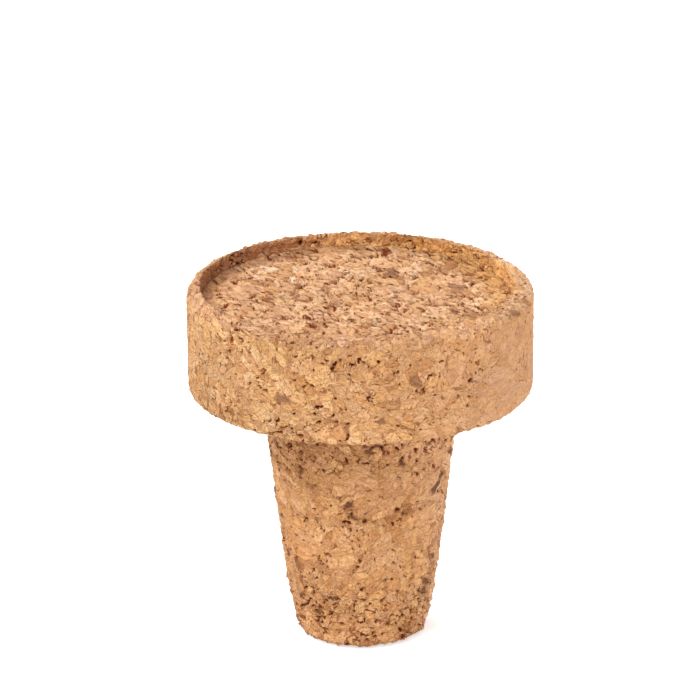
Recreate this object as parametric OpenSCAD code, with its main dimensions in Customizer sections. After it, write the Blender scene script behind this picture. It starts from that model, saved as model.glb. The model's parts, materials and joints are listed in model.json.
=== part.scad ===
// Cork stopper: one turned piece of pressed cork granules, with a dished head over a tapered plug.
// Millimetres, +Z up, origin at the middle of the flat end that the plug stands on.

/* [Head] */
// Diameter of the head
head_d = 38; // [34:0.5:50]
// Thickness of the head, from its underside to the top of the rim
head_h = 12; // [8:0.5:20]
// Rounding of the head's lower edge
underside_round = 0.4; // [0.1:0.1:2]

/* [Recess] */
// Width of the rim that stands round the recess
rim_w = 2; // [1:0.1:5]
// Depth of the recess below the top of the rim
recess_depth = 1.9; // [1.5:0.1:4]
// Rounding of the rim's outer edge
rim_round = 1.5; // [0.2:0.1:3]
// Rounding of the rim's inner edge
lip_round = 0.3; // [0.1:0.05:0.5]
// Fillet between the recess wall and the recess floor
floor_fillet = 0.5; // [0.1:0.1:0.8]

/* [Plug] */
// Length of the plug below the head
plug_len = 29; // [18:0.5:45]
// Diameter of the plug where it meets the head
neck_d = 22.4; // [19:0.1:26]
// Fillet between the plug and the head's underside
neck_fillet = 0.4; // [0.1:0.1:1.5]
// Diameter of the plug where the taper passes into the steeper lead-in
lead_d = 17; // [16:0.1:18.5]
// Height of the lead-in above the plug's end
lead_h = 5.4; // [4:0.1:10]
// Radius that blends the lead-in into the taper
lead_blend = 20; // [2:1:30]
// Diameter of the plug's end, measured to its unrounded edge
foot_d = 14.8; // [12:0.1:15.5]
// Rounding of the edge of the plug's end
foot_round = 0.9; // [0.2:0.1:1.5]

/* [Hidden] */
$fn = 128;
cork = [0.83, 0.62, 0.42];

// Height of the whole stopper
stopper_h = plug_len + head_h;
// Radius of the recess, inside the rim
recess_r = head_d / 2 - rim_w;
// Height of the recess floor
floor_z = stopper_h - recess_depth;

// The rim's outer rounding takes at most this share of what the inner one leaves of the rim
rim_share = 0.9;
rim_edge = min(rim_round, rim_share * (rim_w - lip_round));

// Angle by which the lead-in leans in more than the taper above it
lead_lean = atan((lead_d - foot_d) / 2 / lead_h);
taper_lean = atan((neck_d - lead_d) / 2 / (plug_len - lead_h));
lead_turn = abs(lead_lean - taper_lean);
// The blend between the two takes at most half of what the foot's rounding leaves of the lead-in
blend_room = (lead_h - foot_round) / 2;
blend_edge = min(lead_blend, blend_room / tan(lead_turn / 2));

// Corners of half the section, from the middle of the plug's end round to the middle of the recess floor.
// Each is [distance from the axis, height, rounding].
section_corners = [
    [0, 0, 0],
    [foot_d / 2, 0, foot_round],
    [lead_d / 2, lead_h, blend_edge],
    [neck_d / 2, plug_len, neck_fillet],
    [head_d / 2, plug_len, underside_round],
    [head_d / 2, stopper_h, rim_edge],
    [recess_r, stopper_h, lip_round],
    [recess_r, floor_z, floor_fillet],
    [0, floor_z, 0],
];

function unit(v) = v / norm(v);
function place(corner) = [corner[0], corner[1]];
function before(list, i) = list[(i + len(list) - 1) % len(list)];
function after(list, i) = list[(i + 1) % len(list)];

// Directions from corner i of an outline to the corners on either side of it
function way_back(list, i) = unit(place(before(list, i)) - place(list[i]));
function way_on(list, i) = unit(place(after(list, i)) - place(list[i]));
// Half the angle between the two edges that meet at corner i
function half_angle(list, i) = acos(way_back(list, i) * way_on(list, i)) / 2;
// Where the rounding of corner i leaves the edge before it and joins the edge after it
function setback(list, i) = list[i][2] / tan(half_angle(list, i));
function arc_start(list, i) = place(list[i]) + setback(list, i) * way_back(list, i);
function arc_end(list, i) = place(list[i]) + setback(list, i) * way_on(list, i);
function arc_centre(list, i) =
    place(list[i]) + list[i][2] / sin(half_angle(list, i)) * unit(way_back(list, i) + way_on(list, i));
// An outline that runs anticlockwise turns left at an outer corner and right at an inner one
function is_outer(list, i) = cross(way_on(list, i), way_back(list, i)) > 0;

// What the arc of corner i adds at an outer corner, or takes away at an inner one: the part of its circle
// between the radii to the arc's two ends, from just inside the chord out to the arc
module arc_cap(list, i) {
    radius = list[i][2];
    centre = arc_centre(list, i);
    to_start = unit(arc_start(list, i) - centre);
    to_end = unit(arc_end(list, i) - centre);
    bite = setback(list, i) / 2;
    intersection() {
        translate(centre) circle(r = radius);
        polygon([
            centre + (radius - bite) * to_start,
            centre + (radius + bite) * to_start,
            centre + (radius + bite) * to_end,
            centre + (radius - bite) * to_end,
        ]);
    }
}

// A flat outline with a true arc at each corner that has a rounding
module rounded_outline(list) {
    rounded = [for (i = [0 : len(list) - 1]) if (list[i][2] > 0) i];
    chords = [
        for (i = [0 : len(list) - 1])
            each list[i][2] > 0 ? [arc_start(list, i), arc_end(list, i)] : [place(list[i])]
    ];
    difference() {
        union() {
            polygon(chords);
            for (i = rounded) if (is_outer(list, i)) arc_cap(list, i);
        }
        for (i = rounded) if (!is_outer(list, i)) arc_cap(list, i);
    }
}

// The whole stopper, turned from one block
module stopper() {
    color(cork) rotate_extrude() rounded_outline(section_corners);
}

stopper();
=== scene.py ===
"""Looks of the cork stopper: a fine mesh of the turned block, with real pits, in a cork material.

The relief of the mesh and the colours of the material come from one pattern of granules. The same nodes
build it twice: in a geometry tree, which is sampled at the vertices, and in the material.
Lengths are millimetres in the pattern and metres in the scene.
"""

import json
import math
import random
from types import SimpleNamespace

import bmesh
import bpy
import numpy as np
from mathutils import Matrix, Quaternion, Vector


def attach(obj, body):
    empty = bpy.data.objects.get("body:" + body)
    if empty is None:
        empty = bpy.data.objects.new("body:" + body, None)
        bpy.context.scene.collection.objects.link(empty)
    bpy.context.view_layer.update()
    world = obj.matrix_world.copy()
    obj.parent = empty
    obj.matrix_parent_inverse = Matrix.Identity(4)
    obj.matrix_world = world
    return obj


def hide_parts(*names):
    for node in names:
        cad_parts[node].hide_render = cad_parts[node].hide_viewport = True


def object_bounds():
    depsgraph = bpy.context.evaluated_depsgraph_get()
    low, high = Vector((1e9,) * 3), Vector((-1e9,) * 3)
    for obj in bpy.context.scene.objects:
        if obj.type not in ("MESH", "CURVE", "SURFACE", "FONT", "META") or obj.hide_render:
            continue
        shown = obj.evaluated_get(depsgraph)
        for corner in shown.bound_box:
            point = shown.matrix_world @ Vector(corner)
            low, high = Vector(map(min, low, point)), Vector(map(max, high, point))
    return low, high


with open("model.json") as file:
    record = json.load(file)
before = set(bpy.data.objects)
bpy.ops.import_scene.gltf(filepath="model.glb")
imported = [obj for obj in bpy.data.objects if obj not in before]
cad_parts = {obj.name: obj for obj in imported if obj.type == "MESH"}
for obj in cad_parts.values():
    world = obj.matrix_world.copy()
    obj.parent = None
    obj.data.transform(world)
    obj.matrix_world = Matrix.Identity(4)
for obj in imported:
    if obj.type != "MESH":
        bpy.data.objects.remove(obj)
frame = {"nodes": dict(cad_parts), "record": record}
cad_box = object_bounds()
mounts = {mount["name"]: mount for mount in frame["record"]["mounts"]}

MM = 0.001
SEED = 7

# Places on the stopper that its finish depends on, in millimetres
FLOOR_HEIGHT = mounts["recess_floor"]["pos_m"][2] / MM
HEAD_LOW = mounts["head_underside"]["pos_m"][2] / MM
HEAD_RADIUS = cad_box[1][0] / MM
TOP = cad_box[1][2] / MM
RIM_WIDTH = 2.0
RECESS_RADIUS = HEAD_RADIUS - RIM_WIDTH

# Mesh of the cork body: the step between its vertices, and the share of it by which they stray
STEP = 0.295 * MM
JITTER = 0.28
# Rings with fewer vertices than this, next to the axis, stay even
FEWEST_JITTERED = 7
# Angle at which the CAD node is sliced for its section, and the distance within which points are one
SLICE_ANGLE = math.radians(10.3)
MERGE = 1e-7
# Edges that meet a pit deeper than this share of a full one are halved
PIT_SPLIT = 0.04

# The recess was turned a little off centre, as the rim's uneven width shows
RECESS_SHIFT = Vector((-0.45 * MM, 0, 0))
# In millimetres: the outer part of the rim that stays in place, and the depth below the recess floor from
# which everything stays in place
STILL_RIM = 0.4
STILL_DEPTH = 0.05

# Camera, with the picture taken as 700 by 700 pixels
SENSOR = 36.0
PICTURE = 700
PIXELS_PER_MM = 9.0
CAMERA_DISTANCE = 400 * MM
CAMERA_ELEVATION = math.radians(21.9)
CAMERA_ROLL = math.radians(-0.36)
CAMERA_TARGET = Vector((0, 0, 20 * MM))
CAMERA_AIM = Vector((-1.15 * MM, 0, 32.92 * MM))
CLIP_START = 10 * MM

# Stage: half the floor's width, its colour and glow, and the light that the world gives
FLOOR_REACH = 3.0
FLOOR_COLOUR = (0.9, 0.9, 0.9, 1)
FLOOR_GLOW = 0.62
WORLD_LIGHT = 0.4
# The lamps' distance, and each lamp's bearing to the left of the camera, elevation, width and power
LAMP_DISTANCE = 0.7
LAMPS = {
    "key": (38, 45, 0.4, 3.2),
    "back": (150, 45, 0.4, 2.5),
    "low_right": (-60, 0.5, 0.06, 0.85),
    "low_far_right": (-100, 0.5, 0.06, 0.95),
}


# Section of the CAD node

def half_section(node):
    """Half the outline of a turned CAD node, as (radius, height) rows from its foot to its top."""
    solid = bmesh.new()
    solid.from_mesh(node.data)
    bmesh.ops.remove_doubles(solid, verts=solid.verts, dist=MERGE)
    out = Vector((math.cos(SLICE_ANGLE), math.sin(SLICE_ANGLE), 0))
    normal = Vector((-out.y, out.x, 0))
    everything = [*solid.verts, *solid.edges, *solid.faces]
    cut = bmesh.ops.bisect_plane(solid, geom=everything, plane_co=(0, 0, 0), plane_no=normal)["geom_cut"]
    edges = [e for e in cut if isinstance(e, bmesh.types.BMEdge)]
    points = [(p.dot(out), p.z) for p in walk_loop(edges)]
    solid.free()
    return outer_half(points)


def walk_loop(edges):
    """The places along a closed loop of edges, in order."""
    joined = {}
    for edge in edges:
        for vert in edge.verts:
            joined.setdefault(vert, []).append(edge.other_vert(vert))
    first = min(joined, key=lambda v: v.co.z)
    loop = [first.co.copy()]
    before = None
    here = first
    while True:
        onward = [v for v in joined[here] if v != before]
        before, here = here, onward[0]
        if here == first:
            return loop
        loop.append(here.co.copy())


def outer_half(points):
    """The half of a closed section at positive radii, from its lowest point on the axis to its highest."""
    count = len(points)
    low = min(p[1] for p in points)
    feet = [i for i in range(count) if points[i][1] < low + MERGE and points[i][0] > 0]
    start = min(feet, key=lambda i: points[i][0])
    forward = points[(start + 1) % count][0] > points[start][0]
    turn = 1 if forward else -1
    half = [(0.0, points[start][1])]
    i = start
    while points[i][0] > 0:
        half.append(points[i])
        i = (i + turn) % count
    half.append((0.0, half[-1][1]))
    return np.array(half)


def distances(section):
    """The distance along the section of each of its points."""
    lengths = np.hypot(*np.diff(section, axis=0).T)
    return np.concatenate([[0], np.cumsum(lengths)])


# Mesh of the cork body

def rings_along(along, section):
    """Rings of jittered places on the turned surface, as lists of (distance along the section, angle)."""
    dice = random.Random(SEED)
    count = round(along[-1] / STEP)
    rings = []
    for i in range(count + 1):
        place = along[-1] * i / count
        radius = np.interp(place, along, section[:, 0])
        around = round(2 * math.pi * radius / STEP) if 0 < i < count else 1
        around = max(around, 1)
        loose = JITTER if around >= FEWEST_JITTERED else 0.0
        start = dice.random()
        ring = []
        for k in range(around):
            angle = (k + start + loose * dice.uniform(-1, 1)) * 2 * math.pi / around
            ring.append((place + loose * dice.uniform(-1, 1) * STEP, angle))
        rings.append(ring)
    return rings


def zip_rings(low, high, first_low, first_high):
    """Triangles between two rings of angles, which start near one another."""
    faces = []
    i = j = 0
    while i < len(low) or j < len(high):
        next_low = low[i + 1] if i + 1 < len(low) else low[0] + 2 * math.pi
        next_high = high[j + 1] if j + 1 < len(high) else high[0] + 2 * math.pi
        a = first_low + i % len(low)
        b = first_high + j % len(high)
        step_low = j >= len(high) or (i < len(low) and next_low < next_high)
        if len(low) == 1:
            step_low = False
        if len(high) == 1:
            step_low = True
        if step_low:
            if i >= len(low):
                break
            faces.append((a, first_low + (i + 1) % len(low), b))
            i += 1
        else:
            if j >= len(high):
                break
            faces.append((a, first_high + (j + 1) % len(high), b))
            j += 1
    return faces


def turned_mesh(section):
    """The turned surface as even, slightly irregular triangles, with each vertex's distance along it."""
    along = distances(section)
    rings = rings_along(along, section)
    firsts = np.cumsum([0] + [len(r) for r in rings])
    faces = []
    for i in range(len(rings) - 1):
        low = [p[1] for p in rings[i]]
        high = [p[1] for p in rings[i + 1]]
        faces += zip_rings(low, high, int(firsts[i]), int(firsts[i + 1]))
    flat = np.array([p for ring in rings for p in ring])
    distance = np.clip(flat[:, 0], 0, along[-1])
    radius = np.interp(distance, along, section[:, 0])
    height = np.interp(distance, along, section[:, 1])
    places = np.column_stack([radius * np.cos(flat[:, 1]), radius * np.sin(flat[:, 1]), height])
    mesh = bpy.data.meshes.new("cork_body")
    mesh.from_pydata(places.tolist(), [], faces)
    mesh.attributes.new("along", "FLOAT", "POINT").data.foreach_set("value", distance.astype(np.float32))
    return mesh


def split_edges(mesh, marked):
    """Halves the edges of a mesh that meet a marked vertex."""
    solid = bmesh.new()
    solid.from_mesh(mesh)
    edges = [e for e in solid.edges if marked[e.verts[0].index] or marked[e.verts[1].index]]
    bmesh.ops.subdivide_edges(solid, edges=edges, cuts=1)
    bmesh.ops.triangulate(solid, faces=solid.faces)
    solid.to_mesh(mesh)
    solid.free()


def vertex_values(mesh, name, kind="value", width=1):
    """An attribute of the vertices as rows of numbers."""
    values = np.zeros(len(mesh.vertices) * width, np.float32)
    mesh.attributes[name].data.foreach_get(kind, values)
    return values.reshape(-1, width) if width > 1 else values


# Nodes

# Noise strays about this far from its middle
NOISE_MIDDLE = 0.5
NOISE_REACH = 0.25


class Net:
    """Adds nodes to a shader or geometry tree. Each method gives back an output of the node it adds."""

    def __init__(self, tree):
        self.tree = tree

    def add(self, kind, inputs=(), output=0, **settings):
        node = self.tree.nodes.new(kind)
        for name, value in settings.items():
            setattr(node, name, value)
        for key, value in dict(inputs).items():
            if isinstance(value, bpy.types.NodeSocket):
                self.tree.links.new(value, node.inputs[key])
            else:
                node.inputs[key].default_value = value
        return node.outputs[output]

    def math(self, operation, *values):
        return self.add("ShaderNodeMath", enumerate(values), operation=operation)

    def times(self, first, *others):
        for other in others:
            first = self.math("MULTIPLY", first, other)
        return first

    def plus(self, first, *others):
        for other in others:
            first = self.math("ADD", first, other)
        return first

    def minus(self, first, other):
        return self.math("SUBTRACT", first, other)

    def ridge(self, share):
        """1 where a share is a half, falling to 0 where it is 0 or 1."""
        return self.times(share, self.minus(1.0, share), 4.0)

    def vector(self, operation, *values):
        return self.add("ShaderNodeVectorMath", enumerate(values), operation=operation)

    def scale(self, vector, factor):
        return self.add("ShaderNodeVectorMath", {0: vector, 3: factor}, operation="SCALE")

    def dot(self, a, b):
        return self.add("ShaderNodeVectorMath", {0: a, 1: b}, output="Value", operation="DOT_PRODUCT")

    def length(self, vector):
        return self.add("ShaderNodeVectorMath", {0: vector}, output="Value", operation="LENGTH")

    def centred(self, dice):
        """A random vector of values from 0 to 1, as one of values about 0."""
        return self.vector("SUBTRACT", dice, (NOISE_MIDDLE, NOISE_MIDDLE, NOISE_MIDDLE))

    def parts(self, vector):
        self.add("ShaderNodeSeparateXYZ", {0: vector})
        return self.tree.nodes[-1].outputs

    def noise(self, place, per_mm, detail=0.0, roughness=0.5, output="Fac"):
        sockets = {"Vector": place, "Scale": per_mm, "Detail": detail, "Roughness": roughness}
        return self.add("ShaderNodeTexNoise", sockets, output)

    def drift(self, place, per_mm, reach, detail=0.0):
        """A random shift of about that reach each way, which changes slowly from place to place."""
        stray = self.centred(self.noise(place, per_mm, detail, output="Color"))
        return self.scale(stray, reach / NOISE_REACH)

    def cells(self, place, size):
        """Random cells of about that size: their random values, centres and distances to their borders."""
        sockets = {"Vector": place, "Scale": 1 / size}
        self.add("ShaderNodeTexVoronoi", sockets, feature="F1")
        cell = self.tree.nodes[-1].outputs
        edge = self.add("ShaderNodeTexVoronoi", sockets, feature="DISTANCE_TO_EDGE")
        return SimpleNamespace(dice=cell["Color"], centre=cell["Position"], border=self.times(edge, size))

    def turn(self, vector, dice):
        """A vector turned by an angle of its own for each random value."""
        sockets = {"Vector": vector, "Rotation": self.scale(dice, 2 * math.pi)}
        return self.add("ShaderNodeVectorRotate", sockets, rotation_type="EULER_XYZ")

    def rise(self, value, low, high, start=0.0, end=1.0):
        """Goes smoothly from start to end as a value goes from low to high."""
        sockets = {"Value": value, "From Min": low, "From Max": high, "To Min": start, "To Max": end}
        return self.add("ShaderNodeMapRange", sockets, interpolation_type="SMOOTHSTEP")

    def fade(self, value, span):
        """Goes smoothly from 0 to 1 as a value goes, up or down, from a span's first end to its second."""
        first, second = span
        if first < second:
            return self.rise(value, first, second)
        return self.rise(value, second, first, 1.0, 0.0)

    def mix(self, share, a, b, kind="FLOAT"):
        first = {"FLOAT": 2, "VECTOR": 4, "RGBA": 6}[kind]
        index = {"FLOAT": 0, "VECTOR": 1, "RGBA": 2}[kind]
        return self.add("ShaderNodeMix", {0: share, first: a, first + 1: b}, index, data_type=kind)

    def ramp(self, value, stops):
        """Colours along a value from 0 to 1, as (place, colour) stops."""
        out = self.add("ShaderNodeValToRGB", {0: value})
        elements = self.tree.nodes[-1].color_ramp.elements
        while len(elements) < len(stops):
            elements.new(0.5)
        for element, (place, colour) in zip(elements, stops):
            element.position = place
            element.color = linear(colour)
        return out


def linear(colour):
    """A colour of 0 to 255 display values as the linear values that nodes take."""
    shares = [c / 255 for c in colour]
    return [s / 12.92 if s < 0.04045 else ((s + 0.055) / 1.055) ** 2.4 for s in shares] + [1.0]


# Zones of the finish and of painted shade: spans in millimetres over which they fade in, by height
ABOVE_FLOOR = (FLOOR_HEIGHT - 0.5, FLOOR_HEIGHT - 0.1)
UP_THE_WALL = (FLOOR_HEIGHT + 0.02, FLOOR_HEIGHT + 0.25)
FOOT_OF_WALL = (FLOOR_HEIGHT + 0.5, FLOOR_HEIGHT + 0.2)
ON_HEAD = (HEAD_LOW - 0.3, HEAD_LOW + 0.3)
LOW_ON_HEAD = (HEAD_LOW + 4.0, HEAD_LOW + 1.0)
BELOW_RIM = (TOP - 0.8, TOP - 2.0)
ON_RIM = (TOP - 1.4, TOP - 0.5)
LOW_ON_PLUG = (11.0, 4.0)
AT_NECK = (18.0, 25.0)
# By distance from the axis
IN_RECESS = (RECESS_RADIUS + 0.3, RECESS_RADIUS - 0.1)
NEAR_WALL = (RECESS_RADIUS - 1.8, RECESS_RADIUS)
OUTER_FLOOR = (RECESS_RADIUS - 4.5, RECESS_RADIUS - 1.2)
# By place from left to right
LEFT = (3.0, -10.0)
FAR_LEFT = (-8.0, -15.0)
LEFT_AND_MIDDLE = (8.0, 0.0)
RIGHT = (12.0, 16.0)
RIGHT_OF_HEAD = (5.0, 16.0)
RIGHT_OF_FLOOR = (4.0, 12.0)
RIGHT_OF_PLUG = (5.0, 9.0)
# Noise that frays the round edges of the zones on the recess floor, and how far
FRAY_NOISE = (1.2, 1.0)
FRAY_REACH = 0.5


def zones(net, place):
    """Shares from 0 to 1 of the stopper's differently finished parts at a place in millimetres, and of the
    recess corner that gets a painted shadow.
    """
    zone = SimpleNamespace()
    x, _, height = net.parts(place)
    zone.left = net.fade(x, LEFT)
    zone.far_left = net.fade(x, FAR_LEFT)
    zone.right = net.fade(x, RIGHT)
    # Recess
    radius = net.length(net.vector("MULTIPLY", place, (1, 1, 0)))
    frayed_radius = net.plus(radius, net.times(net.noise(place, *FRAY_NOISE), FRAY_REACH))
    zone.dish = net.times(net.fade(radius, IN_RECESS), net.fade(height, ABOVE_FLOOR))
    zone.wall = net.times(zone.dish, net.fade(height, UP_THE_WALL))
    zone.floor = net.minus(zone.dish, zone.wall)
    zone.joint = net.times(zone.dish, net.ridge(zone.floor))
    # The foot of the recess wall, on the left and back, where the colour gets a painted shadow
    painted_shadow_edge = net.times(net.fade(frayed_radius, NEAR_WALL), net.fade(height, FOOT_OF_WALL))
    zone.corner = net.times(zone.dish, painted_shadow_edge, net.fade(x, LEFT_AND_MIDDLE))
    outer_floor = net.times(zone.floor, net.fade(frayed_radius, OUTER_FLOOR))
    zone.skirt = net.times(outer_floor, net.fade(x, RIGHT_OF_FLOOR))
    # Head
    zone.on_head = net.fade(height, ON_HEAD)
    zone.outside = net.times(zone.on_head, net.minus(1.0, zone.dish))
    zone.left_head = net.times(zone.outside, zone.left)
    zone.low_head = net.times(zone.outside, net.fade(height, LOW_ON_HEAD))
    zone.calm = net.times(net.fade(x, RIGHT_OF_HEAD), zone.outside, net.fade(height, BELOW_RIM))
    zone.rim = net.times(net.fade(height, ON_RIM), net.minus(1.0, zone.wall))
    zone.side = net.minus(zone.outside, zone.rim)
    # Plug
    zone.plug = net.minus(1.0, zone.on_head)
    zone.low_plug = net.fade(height, LOW_ON_PLUG)
    zone.smooth_plug = net.minus(zone.plug, zone.low_plug)
    zone.neck = net.times(net.fade(height, AT_NECK), zone.plug)
    zone.right_plug = net.times(zone.plug, net.fade(x, RIGHT_OF_PLUG))
    return zone


def by_zone(net, zone, weights):
    """The weight that holds all over, plus each zone's weight times its share."""
    total = weights["all"]
    for name, weight in weights.items():
        if name != "all":
            total = net.plus(total, net.times(getattr(zone, name), weight))
    return total


# Pattern of the pressed granules: sizes in millimetres, and how much smaller they are along each axis
PATCH_SIZE = 5.4
FLAKE_SIZE = 2.3
FLAKE_SHAPE = (1.0, 1.5, 2.1)
SPLINTER_SIZE = 0.75
SPLINTER_SHAPE = (1.0, 2.0, 3.2)
STREAK_SHAPE = (0.8, 6.0, 6.0)
CRUMB_SHAPE = (1.0, 1.9, 1.9)
NICK_SHAPE = (1.2, 3.2, 3.2)
# Pressing lays the granules down, so that they are lower than they are wide
PRESSED = (1.0, 1.0, 1.35)
# On the recess floor they lie longer from front to back
FLOOR_STRETCH = (1.0, 0.68, 1.0)
# Bends of the pattern: how often per millimetre, how far, and in how much detail
SLOW_BEND = (0.4, 0.25, 1.0)
FINE_BEND = (3.5, 0.08, 1.0)
PATCH_BEND = (0.8, 0.45, 1.0)
# A patch's flakes are this fine at the coarsest, and up to so much finer
COARSEST = 0.75
FINENESS_RANGE = 0.7
FINER = {"all": 1.0, "floor": -0.05, "wall": 0.5, "left_head": 0.2}
# Jumps to other parts of the pattern, from patch to patch, flake to flake and use to use
PATCH_JUMP = 50.0
FLAKE_JUMP = 30.0
CRUMB_JUMP = (7, 3, 5)
NICK_JUMP = (2, 9, 4)

# Noises: how often per millimetre, in how much detail and how rough
FRAYED_BORDER_NOISE = (2.4, 1.0)
STREAK_NOISE = (1.0, 3.0, 0.6)
CRUMB_NOISE = (1.0, 1.0)
NICK_NOISE = (1.0, 1.0)
CRACK_NOISE = (1.1, 1.0)
GROOVE_NOISE = (1.7, 1.0)
CLUSTER_NOISE = (0.25, 1.0)
PIT_NOISE = (1.5, 1.0)
# Levels of those noises over which cracks, grooves, pits and nicks open
CRACK_LEVELS = (0.60, 0.67)
GROOVE_LEVELS = (0.43, 0.58)
PIT_LEVELS = (0.645, 0.68)
NICK_LEVELS = (0.62, 0.68)
# How far from a flake's border they reach, in millimetres: closed and open cracks, and the rest as spans
CRACK_WIDTHS = (0.004, 0.17)
CRACK_EDGE = (1.0, 0.4)
GROOVE_EDGE = (0.2, 0.0)
PIT_EDGE = (0.38, 0.16)
# What the zones and the clusters of pits add to those levels
OPEN_PORES = {
    "all": 0.0, "dish": 0.078, "calm": -0.04, "low_plug": 0.05, "outside": -0.02, "smooth_plug": -0.02,
    "neck": 0.06, "low_head": 0.015, "left_head": 0.02, "wall": -0.06,
}
CLOSED_CRACKS = {"all": 0.0, "smooth_plug": -0.02, "floor": -0.04}
CLOSED_GROOVES = {"all": 0.0, "calm": -0.08}
CLOSED_NICKS = {"all": 0.0, "floor": -0.1, "smooth_plug": -0.02}
NICKS_IN_PORES = 0.5
PITS_IN_CLUSTERS = 0.32
NICKS_IN_CLUSTERS = 0.15
# Bark and pale flakes: the spans of a flake's random value, and of the distance from its frayed border
BARK_VALUES = (0.04, 0.035)
BARK_EDGE = (0.15, 0.25)
PALE_VALUES = (0.86, 0.9)
PALE_EDGE = (0.0, 0.2)
FRAYED_BORDER_REACH = 0.8
LESS_BARK = {"all": 0.0, "neck": -0.08, "on_head": 0.015}


def cork_flakes(net, zone, place, bent):
    """Flakes in patches, each of which lie one way and are about as fine as one another."""
    patch = net.cells(net.vector("ADD", bent, net.drift(place, *PATCH_BEND)), PATCH_SIZE)
    patch_fineness = net.math("MULTIPLY_ADD", net.parts(patch.dice)[2], FINENESS_RANGE, COARSEST)
    fineness = net.times(patch_fineness, by_zone(net, zone, FINER))
    turned = net.turn(net.vector("SUBTRACT", bent, patch.centre), patch.dice)
    moved = net.vector("ADD", net.scale(turned, fineness), net.scale(patch.dice, PATCH_JUMP))
    flat = net.vector("MULTIPLY", moved, FLAKE_SHAPE)
    flake = net.cells(flat, FLAKE_SIZE)
    border = net.math("MINIMUM", patch.border, net.math("DIVIDE", flake.border, fineness))
    local = net.turn(net.vector("SUBTRACT", flat, flake.centre), flake.dice)
    return SimpleNamespace(spread=flake.dice, dice=net.parts(flake.dice), local=local, border=border)


def add_grain(net, cork):
    """Adds the splinters, streaks and crumbs inside the flakes."""
    thin = net.vector("MULTIPLY", cork.local, SPLINTER_SHAPE)
    splinter = net.cells(net.vector("ADD", thin, net.scale(cork.spread, FLAKE_JUMP)), SPLINTER_SIZE)
    cork.splinter = net.parts(splinter.dice)
    cork.streaks = net.noise(net.vector("MULTIPLY", cork.local, STREAK_SHAPE), *STREAK_NOISE)
    crumb_place = net.vector("MULTIPLY", net.vector("ADD", cork.local, CRUMB_JUMP), CRUMB_SHAPE)
    cork.crumbs = net.noise(crumb_place, *CRUMB_NOISE)


def add_openings(net, cork, zone, place, bent):
    """Adds cracks and grooves along some of the flakes' borders, pits at others, and nicks all over."""
    pores = by_zone(net, zone, OPEN_PORES)
    clusters = net.minus(net.noise(place, *CLUSTER_NOISE), NOISE_MIDDLE)
    cracked = net.plus(net.noise(place, *CRACK_NOISE), pores, by_zone(net, zone, CLOSED_CRACKS))
    crack_width = net.rise(cracked, *CRACK_LEVELS, *CRACK_WIDTHS)
    cork.crack = net.fade(net.math("DIVIDE", cork.border, crack_width), CRACK_EDGE)
    grooved = net.plus(net.noise(place, *GROOVE_NOISE), by_zone(net, zone, CLOSED_GROOVES))
    cork.groove = net.times(net.fade(grooved, GROOVE_LEVELS), net.fade(cork.border, GROOVE_EDGE))
    pitted = net.plus(net.noise(bent, *PIT_NOISE), net.times(clusters, PITS_IN_CLUSTERS), pores)
    cork.pit = net.times(net.fade(pitted, PIT_LEVELS), net.fade(cork.border, PIT_EDGE))
    nick_place = net.vector("MULTIPLY", net.vector("ADD", cork.local, NICK_JUMP), NICK_SHAPE)
    more = net.plus(net.times(pores, NICKS_IN_PORES), net.times(clusters, NICKS_IN_CLUSTERS))
    nicked = net.plus(net.noise(nick_place, *NICK_NOISE), more, by_zone(net, zone, CLOSED_NICKS))
    cork.nick = net.fade(nicked, NICK_LEVELS)


def add_odd_flakes(net, cork, zone, place):
    """Adds the flakes of bark, and the pale ones on the recess floor."""
    stray = net.minus(net.noise(place, *FRAYED_BORDER_NOISE), NOISE_MIDDLE)
    frayed_border = net.plus(cork.border, net.times(stray, FRAYED_BORDER_REACH))
    value = net.plus(cork.dice[0], by_zone(net, zone, LESS_BARK))
    cork.bark = net.times(net.fade(value, BARK_VALUES), net.fade(frayed_border, BARK_EDGE))
    cork.pale = net.times(net.fade(value, PALE_VALUES), net.fade(frayed_border, PALE_EDGE), zone.floor)


def cork_pattern(net, place):
    """Zones, flakes, cracks and pits at a place in millimetres."""
    zone = zones(net, place)
    on_floor = net.math("GREATER_THAN", zone.floor, 0.5)
    place = net.vector("MULTIPLY", place, net.mix(on_floor, (1, 1, 1), FLOOR_STRETCH, "VECTOR"))
    bend = net.vector("ADD", net.drift(place, *SLOW_BEND), net.drift(place, *FINE_BEND))
    bent = net.vector("MULTIPLY", net.vector("ADD", place, bend), PRESSED)
    cork = cork_flakes(net, zone, place, bent)
    cork.zone = zone
    add_grain(net, cork)
    add_openings(net, cork, zone, place, bent)
    add_odd_flakes(net, cork, zone, place)
    return cork


def flake_slope(net, cork):
    """How far a flake's plane, which leans a way of its own, lies above its middle."""
    return net.dot(cork.local, net.centred(cork.spread))


# Relief of the mesh, in millimetres: how far flakes, seams, pits, lumps and nubs lie in
FLAKE_DROP = -0.1
FLAKE_SLOPE = 0.06
SEAM_DROP = -0.05
SEAM_WIDTH = 0.25
PIT_DROP = -0.45
LUMP_DROP = -0.1
LUMP_NOISE = (0.7, 1.0)
NUB_DROP = -0.18
NUB_NOISE = (1.7, 2.0)
NUB_LEVELS = (0.45, 0.7)
# How uneven the zones are, without their pits, and how far they are lifted to lie about the CAD surface
UNEVEN = {"all": 1.0, "low_plug": 0.4, "floor": 0.35, "side": -0.35, "rim": 0.35}
LIFTED = {"all": 0.03, "side": 0.07, "dish": 0.2}


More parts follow.
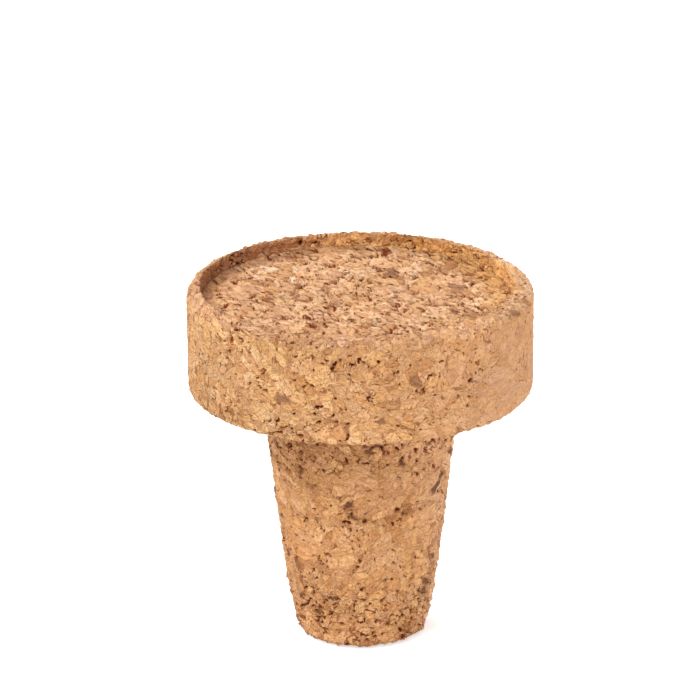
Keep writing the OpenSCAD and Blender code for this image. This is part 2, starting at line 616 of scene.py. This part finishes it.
def relief_group():
    """A geometry tree that keeps the pits, and the relief in metres, as attributes of each vertex."""
    tree = bpy.data.node_groups.new("relief", "GeometryNodeTree")
    tree.interface.new_socket("Geometry", in_out="INPUT", socket_type="NodeSocketGeometry")
    tree.interface.new_socket("Geometry", in_out="OUTPUT", socket_type="NodeSocketGeometry")
    net = Net(tree)
    place = net.scale(net.add("GeometryNodeInputPosition"), 1 / MM)
    cork = cork_pattern(net, place)
    relief = net.times(cork_relief(net, cork, place), MM)
    geometry = net.add("NodeGroupInput")
    for name, value in (("pit", cork.pit), ("relief", relief)):
        sockets = {"Geometry": geometry, "Name": name, "Value": value}
        geometry = net.add("GeometryNodeStoreNamedAttribute", sockets, data_type="FLOAT", domain="POINT")
    net.add("NodeGroupOutput", {0: geometry}, output=slice(0, 0))
    return tree


def cork_relief(net, cork, place):
    """Height above the CAD surface, in millimetres."""
    level = net.times(cork.dice[1], FLAKE_DROP)
    slope = net.times(flake_slope(net, cork), FLAKE_SLOPE)
    seam = net.rise(cork.border, 0.0, SEAM_WIDTH, SEAM_DROP, 0.0)
    lumps = net.times(net.noise(place, *LUMP_NOISE), LUMP_DROP)
    nubs = net.rise(net.noise(place, *NUB_NOISE), *NUB_LEVELS, NUB_DROP, 0.0)
    rough = net.times(net.plus(level, slope, seam, lumps, nubs), by_zone(net, cork.zone, UNEVEN))
    pitted = net.plus(net.times(cork.pit, PIT_DROP), rough)
    smooth_joint = net.times(pitted, net.minus(1.0, cork.zone.joint))
    return net.plus(smooth_joint, by_zone(net, cork.zone, LIFTED))


def sampled(piece, group, name):
    """What a geometry tree keeps under that name at each vertex of a piece."""
    modifier = piece.modifiers.new("sample", "NODES")
    modifier.node_group = group
    evaluated = piece.evaluated_get(bpy.context.evaluated_depsgraph_get())
    values = vertex_values(evaluated.data, name)
    piece.modifiers.remove(modifier)
    return values


def shifted_recess(places):
    """Places with the recess moved off centre, less and less towards the outside of the rim."""
    radius = np.hypot(places[:, 0], places[:, 1]) / MM
    height = places[:, 2] / MM
    share = np.clip((HEAD_RADIUS - STILL_RIM - radius) / (RIM_WIDTH - STILL_RIM), 0, 1)
    share *= height > FLOOR_HEIGHT - STILL_DEPTH
    return places + share[:, None] * np.array(RECESS_SHIFT)


# Map for baking the looks, in millimetres: its width, the gaps in it, and the number of its parts
MAP_SIZE = 100.0
MAP_GAP = 1.0
MAP_PARTS = 5
# Angle that is kept free beside a strip for the faces that cross its seam
SEAM_ROOM = 0.1
# The plug is about this many times as long as the radius that its strip is laid out with
PLUG_SLENDERNESS = 3


def add_bake_map(mesh, section):
    """A UV map with the top and underside as discs, and the plug and both halves of the head as strips."""
    along = distances(section)
    steps = np.abs(np.diff(section, axis=0))
    upright = steps[:, 1] > steps[:, 0]
    breaks = along[1:-1][upright[1:] != upright[:-1]][:MAP_PARTS - 1]
    corners = np.zeros(len(mesh.loops), np.int32)
    mesh.loops.foreach_get("vertex_index", corners)
    faces = corners.reshape(-1, 3)
    distance = vertex_values(mesh, "along")[faces]
    place = vertex_values(mesh, "rest", "vector", 3)[faces]
    middle = place.mean(axis=1)
    turn = np.arctan2(middle[:, 1], middle[:, 0])[:, None]
    angle = turn + wrapped(np.arctan2(place[..., 1], place[..., 0]) - turn)
    part = np.searchsorted(breaks, distance.mean(axis=1))
    layout = lay_out(distance / MM, place / MM, angle, turn, breaks / MM, along[-1] / MM)
    chosen = np.choose(part[:, None, None], layout)
    shares = (chosen / MAP_SIZE).astype(np.float32)
    mesh.uv_layers.new(name="OFBake").data.foreach_set("uv", shares.ravel())


def wrapped(angle):
    """Angles brought to within half a turn of 0."""
    return (angle + math.pi) % (2 * math.pi) - math.pi


def lay_out(distance, place, angle, turn, breaks, end):
    """Where each corner lies in the map if its face is on the foot, plug, underside, head or top."""
    disc = end - breaks[3] + MAP_GAP
    spread = (end - distance)[..., None] * np.stack([np.cos(angle), np.sin(angle)], axis=-1)
    top = disc + spread
    across = 2 * disc + HEAD_RADIUS + MAP_GAP
    below = np.array([across, HEAD_RADIUS + MAP_GAP]) + place[..., :2] * (1, -1)
    strips = 2 * disc
    plug_length = breaks[1] - breaks[0]
    plug_angle = angle + math.pi + SEAM_ROOM
    plug_across = plug_angle * plug_length / PLUG_SLENDERNESS
    plug = np.stack([plug_across, strips + distance - breaks[0]], axis=-1)
    second = np.where(turn < 0, breaks[3] - breaks[2] + MAP_GAP, 0.0)
    head_start = strips + plug_length + MAP_GAP
    half_angle = np.where(turn < 0, angle + math.pi, angle) + SEAM_ROOM
    head = np.stack([half_angle * HEAD_RADIUS, head_start + second + distance - breaks[2]], axis=-1)
    return below, plug, below, head, top


def make_cork_body():
    """The turned block with its relief, which keeps each vertex's place on the CAD surface as "rest"."""
    section = half_section(frame["nodes"]["stopper"])
    mesh = turned_mesh(section)
    piece = bpy.data.objects.new("cork_body", mesh)
    bpy.context.scene.collection.objects.link(piece)
    group = relief_group()
    split_edges(mesh, sampled(piece, group, "pit") > PIT_SPLIT)
    count = len(mesh.vertices)
    places = np.zeros(count * 3, np.float32)
    mesh.vertices.foreach_get("co", places)
    mesh.attributes.new("rest", "FLOAT_VECTOR", "POINT").data.foreach_set("vector", places)
    normals = np.zeros(count * 3, np.float32)
    mesh.vertex_normals.foreach_get("vector", normals)
    relief = sampled(piece, group, "relief")
    moved = places.reshape(-1, 3) + normals.reshape(-1, 3) * relief[:, None]
    moved = np.clip(shifted_recess(moved), *np.array(cad_box))
    mesh.vertices.foreach_set("co", moved.astype(np.float32).ravel())
    add_bake_map(mesh, section)
    mesh.shade_smooth()
    mesh.update()
    mesh.materials.append(cork_material())
    return piece


# Colours of the cork: tones along a flake's random value, and what differs from them
TONES = [
    (0.00, (206, 144, 93)),
    (0.12, (224, 164, 109)),
    (0.30, (236, 178, 121)),
    (0.55, (241, 185, 128)),
    (0.85, (244, 190, 134)),
    (1.00, (246, 194, 139)),
]
MIDDLE_TONE = 0.5
CALM_EVENNESS = 0.4
BARK_COLOUR = (114, 82, 58)
BARK_STRENGTH = {"all": 0.9, "on_head": -0.4}
PALE_COLOUR = (253, 211, 160)
PALE_STRENGTHS = (0.25, 0.6)
NICK_COLOUR = (178, 102, 48)
NICK_STRENGTH = 0.8
CRACK_COLOUR = (164, 88, 38)
CRACK_STRENGTH = 0.75
GROOVE_STRENGTH = {"all": 0.42, "smooth_plug": -0.22, "outside": -0.1}
PIT_COLOUR = (136, 66, 28)
# Tints between which the flakes differ, and tints of the zones
WARM_TINT = (1.03, 0.98, 0.87)
PINK_TINT = (1.0, 0.985, 1.08)
FLOOR_TINT = (0.945, 1.025, 1.21)
SKIRT_TINT = (0.84, 0.77, 0.55)
# The recess wall: its own more orange cork, lifted by painted light against the shade of the recess, less
# so on the right, and darker on the left as painted shade
WALL_COLOUR_AND_PAINTED_LIGHT = (1.26, 1.32, 1.12)
RIGHT_WALL_COLOUR_AND_PAINTED_LIGHT = (1.18, 1.17, 0.92)
LEFT_WALL_PAINTED_SHADE = (0.99, 0.965, 1.15)
RIM_TINT = (1.03, 1.08, 1.28)
RIGHT_RIM_TINT = (1.09, 1.22, 1.5)
LEFT_SIDE_TINT = (1.03, 1.1, 1.13)
# The head's right side: its own pinker tone, with painted shade and a painted pale sheen
CALM_TONE_PAINTED_SHADE_AND_SHEEN = (0.905, 0.91, 1.03)
# A painted pale sheen along the plug's right side
RIGHT_PLUG_PAINTED_SHEEN = (1.04, 1.1, 1.25)
SMOOTH_PLUG_TINT = (0.965, 0.945, 0.935)

# Shades: the levels of a pattern, and the shades between which they go
FIBRE_SHADES = (0.3, 0.7, 0.94, 1.06)
DARK_FIBRE_SHADES = (0.33, 0.42, 0.92, 1.0)
CRUMB_SHADES = (0.38, 0.58, 0.82, 1.04)
FLAKE_SHADES = (0.0, 1.0, 0.9, 1.08)
MOTTLE_SHADES = (0.32, 0.68, 0.92, 1.06)
SPECK_SHADES = (0.5, 0.68, 1.05, 0.76)
SLOW_SHADES = (0.3, 0.7, 0.95, 1.05)
GRAIN_SHADES = (0.3, 0.7, 0.86, 1.12)
CHIP_RANGE = {"all": 0.16, "plug": 0.12}
# Painted shadow at the foot of the recess wall, deepest at the far left where the rim's shadow falls on
# the floor: the share of the colour kept there
PAINTED_CORNER_SHADOW = 0.82
FAR_LEFT_PAINTED_CORNER_SHADOW = 0.66
# Noises: how often per millimetre, in how much detail and how rough
MOTTLE_NOISE = (1.7, 3.0, 0.65)
SPECK_NOISE = (1.0, 1.0)
SPECK_SHAPE = (3.0, 1.8, 3.0)
SLOW_NOISE = (0.14, 1.0)
GRAIN_NOISE = (4.0, 2.0, 0.7)
# Shares by which streaks and crumbs are taken back on the recess floor
FLOOR_LESS_STREAKED = 0.7
FLOOR_LESS_CRUMBLED = 0.35
# How far the shades are taken back, and by what power they are brought out
SOFT_SHADES = {"all": 0.0, "calm": 0.3, "smooth_plug": 0.05}
LIVELY_SHADES = {"all": 1.0, "dish": 0.1, "wall": 0.25, "left_head": 0.25}
# Where cork is darker it is redder, so each channel follows the shade by a power of its own
SHADE_POWERS = (0.72, 1.0, 1.23)

# Relief that is finer than the mesh, in millimetres
FINE_FLAKE_DROP = -0.08
FINE_FLAKE_SLOPE = 0.22
GROOVE_DROP = -0.06
SPLINTER_LIFT = 0.03
CRUMB_LIFT = 0.22
NICK_DROP = -0.07
CRACK_DROP = -0.1
ROUGH_LIFT = 0.1
ROUGH_NOISE = (2.2, 2.0, 0.5)
STREAK_LIFT = 0.07
FINE_RELIEF = {"all": 1.0, "calm": -0.4, "floor": -0.3, "wall": 0.1}

ROUGHNESS = 0.85
SPECULAR_LEVEL = 0.3


def cork_shade(net, cork, place):
    """How much lighter or darker the cork is than its flake's own tone, with a painted shadow in the
    recess's corner.
    """
    zone = cork.zone
    fibres = net.times(net.rise(cork.streaks, *FIBRE_SHADES), net.rise(cork.streaks, *DARK_FIBRE_SHADES))
    streaked = net.mix(net.times(zone.floor, FLOOR_LESS_STREAKED), fibres, 1.0)
    chip = net.minus(cork.splinter[0], NOISE_MIDDLE)
    chipped = net.math("MULTIPLY_ADD", chip, by_zone(net, zone, CHIP_RANGE), 1.0)
    crumbs = net.rise(cork.crumbs, *CRUMB_SHADES)
    crumbled = net.mix(net.times(zone.floor, FLOOR_LESS_CRUMBLED), crumbs, 1.0)
    flaked = net.mix(net.plus(zone.floor, zone.plug), 1.0, net.rise(cork.dice[1], *FLAKE_SHADES))
    mottled = net.rise(net.noise(place, *MOTTLE_NOISE), *MOTTLE_SHADES)
    specks = net.noise(net.vector("MULTIPLY", place, SPECK_SHAPE), *SPECK_NOISE)
    speckled = net.mix(zone.floor, 1.0, net.rise(specks, *SPECK_SHADES))
    grain = net.rise(net.noise(place, *GRAIN_NOISE), *GRAIN_SHADES)
    grained = net.mix(net.plus(zone.calm, zone.wall), 1.0, grain)
    shade = net.times(streaked, chipped, crumbled, flaked, mottled, speckled, grained)
    softened = net.mix(by_zone(net, zone, SOFT_SHADES), shade, 1.0)
    lively = net.math("POWER", softened, by_zone(net, zone, LIVELY_SHADES))
    slow = net.rise(net.noise(place, *SLOW_NOISE), *SLOW_SHADES)
    # Painted shadow at the foot of the recess wall, deepest at the far left
    painted_corner_shadow = net.mix(zone.far_left, PAINTED_CORNER_SHADOW, FAR_LEFT_PAINTED_CORNER_SHADOW)
    return net.times(lively, slow, net.rise(zone.corner, 0.0, 1.0, 1.0, painted_corner_shadow))


def tinted(net, colour, share, tint):
    """A colour times a tint, as far as the share goes."""
    return net.vector("MULTIPLY", colour, net.mix(share, (1, 1, 1), tint, "VECTOR"))


def covered(net, colour, share, cover):
    """A colour covered by a display colour, as far as the share goes."""
    return net.mix(share, colour, linear(cover), "RGBA")


def flake_colour(net, cork):
    """The flakes' own tones, with bark and pale ones among them."""
    zone = cork.zone
    tone = net.mix(net.times(zone.calm, CALM_EVENNESS), cork.dice[0], MIDDLE_TONE)
    flake_tint = net.mix(cork.dice[2], WARM_TINT, PINK_TINT, "VECTOR")
    colour = net.vector("MULTIPLY", net.ramp(tone, TONES), flake_tint)
    bark = net.times(cork.bark, by_zone(net, zone, BARK_STRENGTH))
    colour = covered(net, colour, bark, BARK_COLOUR)
    pale = net.times(cork.pale, net.rise(zone.left, 0.0, 1.0, *PALE_STRENGTHS))
    return covered(net, colour, pale, PALE_COLOUR)


def zone_colour_and_painted_light(net, zone, colour):
    """A colour with the tints of the zones, among them painted light and shade on the recess wall and
    painted shade and sheen on the right of the head and plug.
    """
    rim_tint = net.mix(zone.right, RIM_TINT, RIGHT_RIM_TINT, "VECTOR")
    # The wall's own orange with painted light, and painted shade on its left part
    wall_colour_and_light = net.mix(zone.right, WALL_COLOUR_AND_PAINTED_LIGHT, RIGHT_WALL_COLOUR_AND_PAINTED_LIGHT, "VECTOR")
    wall_colour_and_light = net.mix(zone.left, wall_colour_and_light, LEFT_WALL_PAINTED_SHADE, "VECTOR")
    tints = (
        (zone.floor, FLOOR_TINT),
        (zone.rim, rim_tint),
        (net.times(zone.side, zone.left), LEFT_SIDE_TINT),
        (zone.calm, CALM_TONE_PAINTED_SHADE_AND_SHEEN),
        (zone.right_plug, RIGHT_PLUG_PAINTED_SHEEN),
        (zone.smooth_plug, SMOOTH_PLUG_TINT),
        (zone.wall, wall_colour_and_light),
        (zone.skirt, SKIRT_TINT),
    )
    for share, tint in tints:
        colour = tinted(net, colour, share, tint)
    return colour


def cork_colour(net, cork, place):
    """The colour of the cork, with its shades, nicks, cracks, grooves and pits."""
    colour = zone_colour_and_painted_light(net, cork.zone, flake_colour(net, cork))
    shade = cork_shade(net, cork, place)
    channels = [net.math("POWER", shade, power) for power in SHADE_POWERS]
    colour = net.vector("MULTIPLY", colour, net.add("ShaderNodeCombineXYZ", enumerate(channels)))
    colour = covered(net, colour, net.times(cork.nick, NICK_STRENGTH), NICK_COLOUR)
    groove = net.times(cork.groove, by_zone(net, cork.zone, GROOVE_STRENGTH))
    line = net.math("MAXIMUM", net.times(cork.crack, CRACK_STRENGTH), groove)
    colour = covered(net, colour, line, CRACK_COLOUR)
    return covered(net, colour, cork.pit, PIT_COLOUR)


def cork_bump(net, cork, place):
    """Relief that is finer than the mesh, in millimetres."""
    tilt = net.times(flake_slope(net, cork), FINE_FLAKE_SLOPE)
    flakes = net.plus(net.times(cork.dice[1], FINE_FLAKE_DROP), tilt, net.times(cork.groove, GROOVE_DROP))
    crumbs = net.plus(net.times(cork.splinter[1], SPLINTER_LIFT), net.times(cork.crumbs, CRUMB_LIFT))
    holes = net.plus(net.times(cork.nick, NICK_DROP), net.times(cork.crack, CRACK_DROP))
    rough = net.times(net.noise(place, *ROUGH_NOISE), ROUGH_LIFT)
    grain = net.plus(rough, net.times(cork.streaks, STREAK_LIFT))
    strength = net.times(by_zone(net, cork.zone, FINE_RELIEF), net.minus(1.0, cork.zone.joint))
    return net.times(net.plus(flakes, crumbs, holes, grain), strength)


def cork_material():
    material = bpy.data.materials.new("cork")
    material.use_nodes = True
    tree = material.node_tree
    shader = tree.nodes["Principled BSDF"]
    net = Net(tree)
    rest = net.add("ShaderNodeAttribute", output="Vector", attribute_name="rest")
    place = net.scale(rest, 1 / MM)
    cork = cork_pattern(net, place)
    tree.links.new(cork_colour(net, cork, place), shader.inputs["Base Color"])
    shader.inputs["Roughness"].default_value = ROUGHNESS
    shader.inputs["Specular IOR Level"].default_value = SPECULAR_LEVEL
    height = net.times(cork_bump(net, cork, place), MM)
    normal = net.add("ShaderNodeBump", {"Height": height, "Distance": 1.0, "Strength": 1.0})
    tree.links.new(normal, shader.inputs["Normal"])
    return material


# Stage

def seen_rays(net):
    """1 for rays that see a background, also in a mirror or through glass, and 0 for those that light."""
    net.add("ShaderNodeLightPath")
    path = net.tree.nodes[-1].outputs
    mirrored = net.math("MAXIMUM", path["Is Glossy Ray"], path["Is Transmission Ray"])
    return net.math("MAXIMUM", path["Is Camera Ray"], mirrored)


def make_floor():
    """A pale floor that is clear from below."""
    reach = FLOOR_REACH
    mesh = bpy.data.meshes.new("floor")
    corners = [(-reach, -reach, 0), (reach, -reach, 0), (reach, reach, 0), (-reach, reach, 0)]
    mesh.from_pydata(corners, [], [(0, 1, 2, 3)])
    floor = bpy.data.objects.new("floor", mesh)
    bpy.context.scene.collection.objects.link(floor)
    material = bpy.data.materials.new("floor")
    material.use_nodes = True
    tree = material.node_tree
    tree.nodes.clear()
    net = Net(tree)
    diffuse = net.add("ShaderNodeBsdfDiffuse", {"Color": FLOOR_COLOUR})
    glow = net.add("ShaderNodeEmission", {"Strength": net.times(seen_rays(net), FLOOR_GLOW)})
    lit = net.add("ShaderNodeAddShader", {0: diffuse, 1: glow})
    clear = net.add("ShaderNodeBsdfTransparent")
    under = net.add("ShaderNodeNewGeometry", output="Backfacing")
    shown = net.add("ShaderNodeMixShader", {0: under, 1: lit, 2: clear})
    net.add("ShaderNodeOutputMaterial", {"Surface": shown}, output=slice(0, 0))
    mesh.materials.append(material)


def make_world():
    """A world that is seen as white and gives a weaker light."""
    world = bpy.data.worlds.new("studio")
    bpy.context.scene.world = world
    world.use_nodes = True
    tree = world.node_tree
    tree.nodes.clear()
    net = Net(tree)
    strength = net.mix(seen_rays(net), WORLD_LIGHT, 1.0)
    sky = net.add("ShaderNodeBackground", {"Color": (1, 1, 1, 1), "Strength": strength})
    net.add("ShaderNodeOutputWorld", {"Surface": sky}, output=slice(0, 0))


def make_lamp(name, bearing, elevation, width, power):
    """A round lamp that faces the middle of the stopper."""
    lamp = bpy.data.lights.new(name, "AREA")
    lamp.shape = "DISK"
    lamp.size = width
    lamp.energy = power
    holder = bpy.data.objects.new(name, lamp)
    around = math.radians(bearing)
    up = math.radians(elevation)
    level = math.cos(up)
    back = Vector((-math.sin(around) * level, -math.cos(around) * level, math.sin(up)))
    holder.location = CAMERA_TARGET + back * LAMP_DISTANCE
    holder.rotation_mode = "QUATERNION"
    holder.rotation_quaternion = (-back).to_track_quat("-Z", "Y")
    bpy.context.scene.collection.objects.link(holder)


def make_camera():
    data = bpy.data.cameras.new("camera")
    data.sensor_width = SENSOR
    data.lens = PIXELS_PER_MM / MM * CAMERA_DISTANCE * SENSOR / PICTURE
    data.clip_start = CLIP_START
    camera = bpy.data.objects.new("camera", data)
    back = Vector((0, -math.cos(CAMERA_ELEVATION), math.sin(CAMERA_ELEVATION)))
    camera.location = CAMERA_TARGET + back * CAMERA_DISTANCE
    camera.rotation_mode = "QUATERNION"
    level = (CAMERA_AIM - camera.location).to_track_quat("-Z", "Y")
    camera.rotation_quaternion = level @ Quaternion((0, 0, 1), CAMERA_ROLL)
    bpy.context.scene.collection.objects.link(camera)
    bpy.context.scene.camera = camera


make_camera()
body = make_cork_body()
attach(body, "root")
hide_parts("stopper")
make_floor()
make_world()
for lamp_name, settings in LAMPS.items():
    make_lamp(lamp_name, *settings)
bpy.context.scene.view_settings.view_transform = "Standard"
